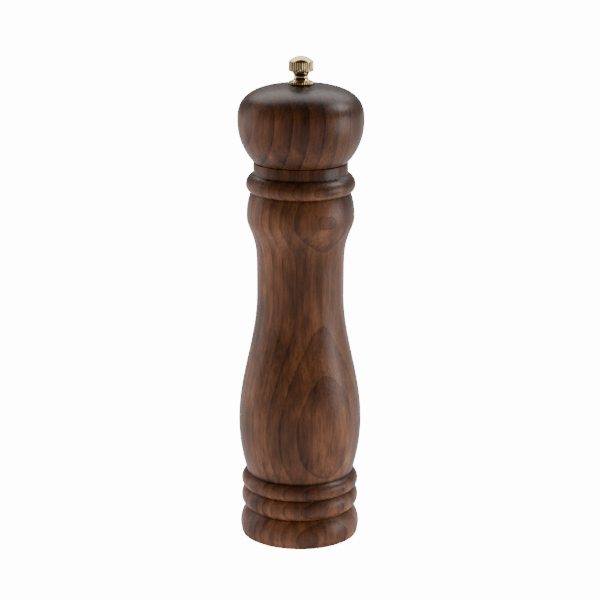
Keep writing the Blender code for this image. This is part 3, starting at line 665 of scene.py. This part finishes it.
bridge = turn("bridge", ring_outline(13.0 * MM, 16.2 * MM, bridge_low, bridge_high, 0.15 * MM), RING_STEPS)
hub = turn("hub", ring_outline(HUB_BORE, 6.5855 * MM, bridge_low, bridge_high, 0.15 * MM), RING_STEPS)
combine(bridge, hub, 'UNION')
for bearing in (-30.0, 90.0, 210.0):
    arm = block((6.2 * MM, -ARM_WIDTH / 2, bridge_low + 0.1 * MM),
                (13.3 * MM, ARM_WIDTH / 2, bridge_high - 0.1 * MM))
    arm.rotation_euler = (0, 0, math.radians(bearing))
    bpy.ops.object.transform_apply(location=True, rotation=True, scale=True)
    combine(bridge, arm, 'UNION')
ease_edges(bridge, 0.08 * MM, 1)
zinc = metal_finish("bright_zinc_plate", (0.64, 0.64, 0.63), (0.50, 0.52, 0.54), 0.22, 0.42)
fit(bridge, zinc, "shaft_bridge", "body")

bush_low, bush_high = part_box("shaft_guide_bush")[0].z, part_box("shaft_guide_bush")[1].z
outline = [(3.9855 * MM, bush_low), (5.7855 * MM, bush_low), (5.9355 * MM, bush_low + 0.15 * MM)]
outline += [(5.9355 * MM, 33.85 * MM), (5.7855 * MM, 34.0 * MM), (4.9855 * MM, 34.0 * MM)]
outline += [(4.9855 * MM, bush_high - 0.35 * MM), (4.6355 * MM, bush_high), (4.1355 * MM, bush_high)]
outline += [(BUSH_BORE, bush_high - 0.3 * MM), (BUSH_BORE, bush_low + 0.15 * MM)]
bush = turn("guide_bush", outline, RING_STEPS)
fit(bush, nylon, "shaft_guide_bush", "body")

# ------------------------------------------------------------------ retaining bar and its screws
# A pressed steel bar across the mouth of the mill keeps the grinding unit in. The shaft's end turns in its
# eye. Two slotted round-head wood screws go through the bar and the flange into the body.

bar_low, bar_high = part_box("retaining_bar")[0].z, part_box("retaining_bar")[1].z
BAR_HALF_WIDTH = 4.0 * MM
BAR_END = 17.6 * MM
EYE_BOSS = 8.5 * MM


def arc(centre, radius, start, end, steps):
    """Points on part of a circle, by angles in degrees."""
    angles = [math.radians(start + (end - start) * i / steps) for i in range(steps + 1)]
    return [(centre[0] + radius * math.cos(a), centre[1] + radius * math.sin(a)) for a in angles]


def thread(root, crest, pitch, low, high):
    """Helical ridge of a screw thread round the axis, its foot sunk in the core that it belongs to."""
    ridge = start_piece("thread")
    bpy.ops.transform.translate(value=(root, 0, low))
    bpy.ops.mesh.extrude_region_move(TRANSFORM_OT_translate={"value": (crest - root, 0, 0.38 * pitch)})
    bpy.ops.mesh.extrude_region_move(TRANSFORM_OT_translate={"value": (0, 0, 0.1 * pitch)})
    bpy.ops.mesh.extrude_region_move(TRANSFORM_OT_translate={"value": (root - crest, 0, 0.38 * pitch)})
    bpy.ops.mesh.select_all(action='SELECT')
    bpy.ops.mesh.edge_face_add()
    bpy.ops.mesh.delete(type='ONLY_FACE')
    bpy.ops.object.mode_set(mode='OBJECT')
    winding = ridge.modifiers.new("winding", 'SCREW')
    winding.steps = winding.render_steps = 24
    winding.screw_offset = pitch
    winding.iterations = int((high - low) / pitch) - 1
    bpy.ops.object.modifier_apply(modifier="winding")
    bpy.ops.object.mode_set(mode='EDIT')
    bpy.ops.mesh.select_all(action='SELECT')
    bpy.ops.mesh.fill_holes(sides=4)
    bpy.ops.mesh.normals_make_consistent(inside=False)
    bpy.ops.object.mode_set(mode='OBJECT')
    return ridge


def join_to(piece, other):
    """Make two meshes one piece."""
    choose(piece)
    other.select_set(True)
    bpy.ops.object.join()
    bpy.ops.object.shade_smooth_by_angle(angle=SMOOTH_LIMIT)


def wood_screw(name, head_low, under, tip, shank, head_radius):
    """Slotted round-head screw on the axis, point up."""
    rise = under - head_low
    core = 0.8 * shank
    outline = [(0, head_low), (0.45 * head_radius, head_low), (0.78 * head_radius, head_low + 0.14 * rise)]
    outline += [(0.95 * head_radius, head_low + 0.38 * rise), (head_radius, head_low + 0.7 * rise)]
    outline += [(0.97 * head_radius, under), (shank, under), (shank, under + 1.5 * MM)]
    outline += [(core, under + 1.5 * MM + 0.4 * shank), (core, tip - 2 * shank), (0.1 * shank, tip), (0, tip)]
    screw = turn(name, outline, 48)
    combine(screw, block((-3 * MM, -0.25 * MM, head_low - MM), (3 * MM, 0.25 * MM, head_low + 0.45 * MM)))
    join_to(screw, thread(core - 0.1 * MM, 1.18 * shank, 1.0 * MM, under + 1.6 * MM, tip - 1.6 * shank))
    return screw


def copy_to(piece, name, dx, dy):
    """Copy of a piece with its own mesh, moved sideways in its mesh."""
    choose(piece)
    bpy.ops.object.duplicate(linked=False)
    copy = bpy.context.object
    copy.name = copy.data.name = name
    bpy.ops.object.mode_set(mode='EDIT')
    bpy.ops.mesh.select_all(action='SELECT')
    bpy.ops.transform.translate(value=(dx, dy, 0))
    bpy.ops.object.mode_set(mode='OBJECT')
    return copy


reach = math.degrees(math.asin(BAR_HALF_WIDTH / EYE_BOSS))
plan = arc((0, 0), EYE_BOSS, reach, 180 - reach, 24) + arc((-BAR_END, 0), BAR_HALF_WIDTH, 90, 270, 18)
plan += arc((0, 0), EYE_BOSS, 180 + reach, 360 - reach, 24) + arc((BAR_END, 0), BAR_HALF_WIDTH, -90, 90, 18)
bar = start_piece("retaining_bar_pressing")
bpy.ops.transform.translate(value=(plan[0][0], plan[0][1], bar_low))
for (x, y), (next_x, next_y) in zip(plan, plan[1:]):
    bpy.ops.mesh.extrude_region_move(TRANSFORM_OT_translate={"value": (next_x - x, next_y - y, 0)})
bpy.ops.mesh.select_all(action='SELECT')
bpy.ops.mesh.edge_face_add()
bpy.ops.mesh.extrude_region_move(TRANSFORM_OT_translate={"value": (0, 0, bar_high - bar_low)})
tidy_mesh()
bpy.ops.object.mode_set(mode='OBJECT')
drill(bar, 0, 0, bar_low - MM, bar_high + MM, 5.5 * MM)
for side in (-1, 1):
    drill(bar, side * SCREW_PLACE, 0, bar_low - MM, bar_high + MM, SCREW_HOLE)
ease_edges(bar, 0.2 * MM)
fit(bar, zinc, "retaining_bar", "body")

screw = wood_screw("bar_screw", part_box("retaining_bar_screw_1")[0].z, 3.4 * MM, 16.0 * MM,
                   1.25 * MM, 2.5 * MM)
for number in (1, 2):
    node = "retaining_bar_screw_%d" % number
    lo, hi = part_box(node)
    placed = copy_to(screw, "bar_screw_%d" % number, (lo.x + hi.x) / 2, 0)
    fit(placed, zinc, node, "body")
bpy.data.objects.remove(screw)

# ------------------------------------------------------------------ shaft, inner burr, washer and clip
# A square steel shaft, turned round at both ends and threaded on top for the knob. The inner burr has a
# square hole for it and rests on a washer, which a spring clip holds in a groove near the shaft's end.

shaft_low, shaft_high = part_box("drive_shaft")[0].z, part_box("drive_shaft")[1].z
SHAFT_HALF = 2.5 * MM
SQUARE_HOLE_HALF = 2.8 * MM
WASHER_EDGE = 0.12 * MM
square_low, square_high = 7.3 * MM, 199.65 * MM


def square_core(low, high):
    """Block that cuts the shaft's square hole, standing a little out of both faces."""
    half = SQUARE_HOLE_HALF
    return block((-half, -half, low - MM), (half, half, high + MM))


spindle = [(0, shaft_low), (1.6 * MM, shaft_low), (2.0 * MM, shaft_low + 0.4 * MM), (2.0 * MM, 4.7 * MM)]
spindle += [(1.5 * MM, 4.7 * MM), (1.5 * MM, 5.9 * MM), (2.0 * MM, 5.9 * MM), (2.0 * MM, 203.0 * MM)]
spindle += [(1.72 * MM, 203.4 * MM), (1.72 * MM, shaft_high - 0.4 * MM), (1.35 * MM, shaft_high)]
spindle += [(0, shaft_high)]
shaft = turn("square_shaft", spindle, 48)
square = block((-SHAFT_HALF, -SHAFT_HALF, square_low), (SHAFT_HALF, SHAFT_HALF, square_high))
ease_edges(square, 0.25 * MM)
combine(shaft, square, 'UNION')
join_to(shaft, thread(1.62 * MM, 2.0 * MM, 0.8 * MM, 203.6 * MM, shaft_high - 0.2 * MM))
fit(shaft, zinc, "drive_shaft", "shaft")

rotor_low, rotor_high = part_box("rotor")[0].z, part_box("rotor")[1].z
foot, lip, nose = (10.35 * MM, rotor_low), (8.3 * MM, 15.1 * MM), (6.36 * MM, rotor_high)
rotor = toothed_plug("inner_burr", between(foot, lip, 6)[:-1] + between(lip, nose, 6), -1, math.radians(30.0))
combine(rotor, square_core(rotor_low, rotor_high))
shade(rotor, 25.0)
fit(rotor, carbon_steel, "rotor", "shaft")

lo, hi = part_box("rotor_washer")
washer = turn("washer", ring_outline(2.3 * MM, 4.6 * MM, lo.z, hi.z, WASHER_EDGE), RING_STEPS)
fit(washer, zinc, "rotor_washer", "shaft")

lo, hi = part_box("shaft_circlip")
CLIP_MOUTH = 70.0
CLIP_INNER, CLIP_RELIEF = 1.8 * MM, 2.45 * MM
CLIP_STEPS = 58
clip = start_piece("spring_clip")
bpy.ops.transform.translate(value=(CLIP_INNER, 0, lo.z))
bpy.ops.mesh.extrude_region_move(TRANSFORM_OT_translate={"value": (1.8 * MM, 0, 0)})
bpy.ops.mesh.select_all(action='SELECT')
turn_about_axis(math.radians(CLIP_MOUTH / 2))
bpy.ops.mesh.spin(steps=CLIP_STEPS, angle=math.radians(360 - CLIP_MOUTH), center=(0, 0, 0), axis=(0, 0, 1))
bpy.ops.mesh.select_all(action='SELECT')
bpy.ops.mesh.remove_doubles(threshold=0.002 * MM)
for hollow in (115.0, -115.0):
    pick(clip, lambda v: v.co.xy.length < 2.0 * MM
         and abs(math.degrees(math.atan2(v.co.y, v.co.x)) - hollow) < 32.0)
    scale_about_axis(CLIP_RELIEF / CLIP_INNER)
bpy.ops.mesh.select_all(action='SELECT')
bpy.ops.mesh.extrude_region_move(TRANSFORM_OT_translate={"value": (0, 0, hi.z - lo.z)})
tidy_mesh()
bpy.ops.object.mode_set(mode='OBJECT')
ease_edges(clip, 0.05 * MM, 1, 50.0)
fit(clip, zinc, "shaft_circlip", "shaft")

# ------------------------------------------------------------------ spring and its washer
# A short compression spring of plated wire, closed at both ends, keeps the inner burr down. It bears on
# the bush above through a washer. In the mill it turns with the shaft; here it is joined to no moving body.

spring_low, spring_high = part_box("spring")[0].z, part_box("spring")[1].z
WIRE = 0.8 * MM
ACTIVE_TURNS = 3
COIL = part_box("spring")[1].x - WIRE / 2
DEAD_CLIMB = 1.05 * WIRE
WIND_STEPS = 32


def wire_height(turns):
    """Height of the wire's middle after so many turns from the lower end."""
    bottom, top = spring_low + WIRE / 2, spring_high - WIRE / 2
    if turns <= 1:
        return bottom + DEAD_CLIMB * turns
    if turns >= ACTIVE_TURNS + 1:
        return top - DEAD_CLIMB * (ACTIVE_TURNS + 2 - turns)
    return bottom + DEAD_CLIMB + (top - bottom - 2 * DEAD_CLIMB) * (turns - 1) / ACTIVE_TURNS


section = arc((COIL, wire_height(0)), WIRE / 2, 0, 360, 12)
spring = start_piece("coil_spring")
bpy.ops.transform.translate(value=(section[0][0], 0, section[0][1]))
for (r, z), (next_r, next_z) in zip(section, section[1:]):
    bpy.ops.mesh.extrude_region_move(TRANSFORM_OT_translate={"value": (next_r - r, 0, next_z - z)})
bpy.ops.mesh.select_all(action='SELECT')
bpy.ops.mesh.remove_doubles(threshold=0.002 * MM)
bpy.ops.mesh.edge_face_add()
total_steps = (ACTIVE_TURNS + 2) * WIND_STEPS
for step in range(total_steps):
    rise = wire_height((step + 1) / WIND_STEPS) - wire_height(step / WIND_STEPS)
    bpy.ops.mesh.extrude_region_move(TRANSFORM_OT_translate={"value": (0, 0, rise)})
    turn_about_axis(2 * math.pi / WIND_STEPS)
tidy_mesh()
bpy.ops.object.mode_set(mode='OBJECT')
bpy.ops.object.shade_smooth_by_angle(angle=math.radians(50))
spring.data.materials.append(zinc)
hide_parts("spring")
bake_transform(spring)

lo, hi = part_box("spring_seat_washer")
seat = turn("seat_washer", ring_outline(BUSH_BORE, hi.x, lo.z, hi.z, WASHER_EDGE), RING_STEPS)
fit(seat, zinc, "spring_seat_washer", "turning_set")

# ------------------------------------------------------------------ driver plate and its screws
# A round steel plate with a square hole is screwed under the head's tenon with three small screws, so
# that the head turns the shaft and still lifts off it.

plate_low, plate_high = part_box("driver_plate")[0].z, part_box("driver_plate")[1].z
outline = [(0, plate_low), (10.3 * MM, plate_low), (10.5 * MM, plate_low + 0.2 * MM)]
outline += [(10.5 * MM, plate_high - 0.2 * MM), (10.3 * MM, plate_high), (0, plate_high)]
plate = turn("driver_disc", outline, RING_STEPS)
combine(plate, square_core(plate_low, plate_high))
small_screw = wood_screw("plate_screw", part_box("driver_plate_screw_1")[0].z, 157.7 * MM, 165.7 * MM,
                         1.0 * MM, 2.0 * MM)
for number in (1, 2, 3):
    node = "driver_plate_screw_%d" % number
    lo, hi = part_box(node)
    x, y = (lo.x + hi.x) / 2, (lo.y + hi.y) / 2
    drill(plate, x, y, plate_low - MM, plate_high + MM, 1.3 * MM)
    placed = copy_to(small_screw, "plate_screw_%d" % number, x, y)
    fit(placed, zinc, node, "head")
bpy.data.objects.remove(small_screw)
ease_edges(plate, 0.06 * MM, 1, 50.0)
fit(plate, zinc, "driver_plate", "head")

# ------------------------------------------------------------------ head
# The head is turned from a second blank with wider rings, with a tenon that drops into the collar.
# Its top is counterbored for the brass bush.

head_foot = (21.0 * MM, 173.5 * MM)
head_wide = (28.05 * MM, 191.6 * MM)
head_top = 207.65 * MM
crown_fullness = 2.75
counterbore, counterbore_floor = 5.75 * MM, 206.15 * MM
shaft_hole = 4.5 * MM


def crown(wide, top_z, end_r, fullness, steps):
    """Full crown from the widest point up towards a flat top on the axis, cut off at a radius."""
    radius, wide_z = wide
    rise = top_z - wide_z
    last = math.acos((end_r / radius) ** (fullness / 2))
    points = []
    for i in range(1, steps + 1):
        a = last * i / steps
        points.append((radius * math.cos(a) ** (2 / fullness), wide_z + rise * math.sin(a) ** (2 / fullness)))
    return points


tenon, tenon_low = 13.2 * MM, 159.5 * MM
outline = [(shaft_hole, tenon_low), (tenon - 0.4 * MM, tenon_low), (tenon, tenon_low + 0.4 * MM)]
outline += [(tenon, head_foot[1]), (20.85 * MM, head_foot[1]), head_foot]
outline += quarter(head_wide, head_foot, 24)[-2::-1] + [head_wide]
outline += crown(head_wide, head_top, counterbore, crown_fullness, 40)
outline += [(counterbore, counterbore_floor), (shaft_hole, counterbore_floor)]
head = turn("turned_head", outline)
# Painted shade round the rim of the counterbore.
paint_crease_shade(head, [(counterbore, head_top)])
head_finish = wood_finish("walnut_stain_head", 104, -4, -120.7 * MM, 6.6 * MM, 1.5, 0.42,
                          (0.34, 0.125, 0.052), (0.16, 0.054, 0.021), (0.034, 0.0125, 0.0055))
head.data.materials.append(head_finish)
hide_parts("head")
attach(head, "head")

# ------------------------------------------------------------------ brass bush in the head
# A small flanged bush of turned brass is pressed into the counterbore on top of the head. The knob's
# flange runs on it.

lo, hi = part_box("head_ferrule")
outline = [(2.75 * MM, lo.z), (4.0 * MM, lo.z), (4.2 * MM, lo.z + 0.2 * MM), (4.2 * MM, 206.45 * MM)]
outline += [(5.3 * MM, 206.45 * MM), (5.45 * MM, 206.6 * MM), (5.45 * MM, hi.z - 0.2 * MM), (5.25 * MM, hi.z)]
outline += [(2.8 * MM, hi.z), (2.6 * MM, hi.z - 0.2 * MM), (2.6 * MM, lo.z + 0.15 * MM)]
brass_bush = turn("brass_bush", outline, RING_STEPS)
brass_tones = ((0.78, 0.60, 0.32), (0.62, 0.45, 0.21))
brass = metal_finish("polished_turned_brass", *brass_tones, 0.05, 0.16)
fit(brass_bush, brass, "head_ferrule", "head")

# ------------------------------------------------------------------ adjusting knob
# Turned from brass bar: a domed grip above a waist and a flange. Grip and flange are straight-knurled with
# thirty-four flutes. It screws on to the shaft, and its pull sets how close the burrs run.

FLUTES = 34
FLUTE_SHAPE = (0.0, 0.12, 0.7, 1.0, 0.7, 0.12)
FLUTE_DEPTH = 0.26 * MM
FLUTE_RING = FLUTES * len(FLUTE_SHAPE)
knob_low, knob_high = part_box("adjusting_knob")[0].z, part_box("adjusting_knob")[1].z
grip = 5.5 * MM
neck = 4.93 * MM
waist_radius = 3.05 * MM


def cove(start, end, steps):
    """Hollow quarter between two points of a turned form, upright at the deeper one, without the first."""
    (r0, z0), (r1, z1) = start, end
    points = []
    for i in range(1, steps + 1):
        a = math.pi / 2 * i / steps
        if r1 < r0:
            points.append((r0 + (r1 - r0) * math.sin(a), z0 + (z1 - z0) * (1 - math.cos(a))))
        else:
            points.append((r0 + (r1 - r0) * (1 - math.cos(a)), z0 + (z1 - z0) * math.sin(a)))
    return points


outline = [(0, 217.25 * MM), (2.3 * MM, 217.25 * MM), (2.3 * MM, 207.75 * MM), (2.5 * MM, knob_low)]
outline += [(neck, knob_low), (5.32 * MM, 207.7 * MM), (grip, 207.95 * MM)]
outline += [(grip, 208.3 * MM), (grip, 208.68 * MM)]
outline += [(5.3 * MM, 208.9 * MM), (neck, 209.05 * MM)]
outline += cove(outline[-1], (waist_radius, 210.95 * MM), 12)
outline += cove(outline[-1], (neck, 213.35 * MM), 12)
outline += [(5.3 * MM, 213.45 * MM), (grip, 213.75 * MM), (grip, 215.0 * MM), (grip, 216.3 * MM)]
outline += [(grip, 217.45 * MM), (5.4 * MM, 217.6 * MM)]
dome_edge = (5.28 * MM, 217.62 * MM)
dome_rise = knob_high - dome_edge[1]
dome_radius = (dome_edge[0] ** 2 + dome_rise ** 2) / (2 * dome_rise)
sweep = math.asin(dome_edge[0] / dome_radius)
dome = [sweep * (1 - i / 16) for i in range(17)]
outline += [(dome_radius * math.sin(a), knob_high - dome_radius * (1 - math.cos(a))) for a in dome[:-1]]
outline += [(0, knob_high)]
knob = turn("knurled_knob", outline, FLUTE_RING)


def flute_place(vert):
    """Where a vertex stands across its flute, from the crest that it starts at."""
    return round_step(vert, FLUTE_RING) % len(FLUTE_SHAPE)


def on_rim(vert):
    """True on the chamfers above and below the two knurled bands, and false on the bands."""
    on_band = any(low * MM < vert.co.z < high * MM for low, high in ((213.8, 217.5), (207.9, 208.8)))
    return 5.29 * MM < vert.co.xy.length < 5.45 * MM and not on_band


bpy.ops.object.mode_set(mode='EDIT')
for place, share in enumerate(FLUTE_SHAPE):
    if share:
        pick(knob, lambda v: v.co.xy.length > 5.45 * MM and flute_place(v) == place)
        scale_about_axis(1 - share * FLUTE_DEPTH / grip)
        pick(knob, lambda v: on_rim(v) and flute_place(v) == place)
        scale_about_axis(1 - 0.55 * share * FLUTE_DEPTH / grip)
tidy_mesh()
bpy.ops.object.mode_set(mode='OBJECT')
bpy.ops.object.shade_smooth_by_angle(angle=math.radians(38))
# Mark the flute hollows, the deepest most, for painted shade in the knurling.
mark = knob.data.attributes.new("crease", 'FLOAT', 'POINT')
for vert in knob.data.vertices:
    if vert.co.xy.length > 5.15 * MM and vert.co.z < 217.61 * MM:
        mark.data[vert.index].value = FLUTE_SHAPE[flute_place(vert)]
# The dark brown laid in the flutes is painted shade.
knurled_brass = metal_finish("knurled_brass", *brass_tones, 0.06, 0.18, painted_groove_shade=(0.055, 0.028, 0.010))
fit(knob, knurled_brass, "adjusting_knob", "knob")
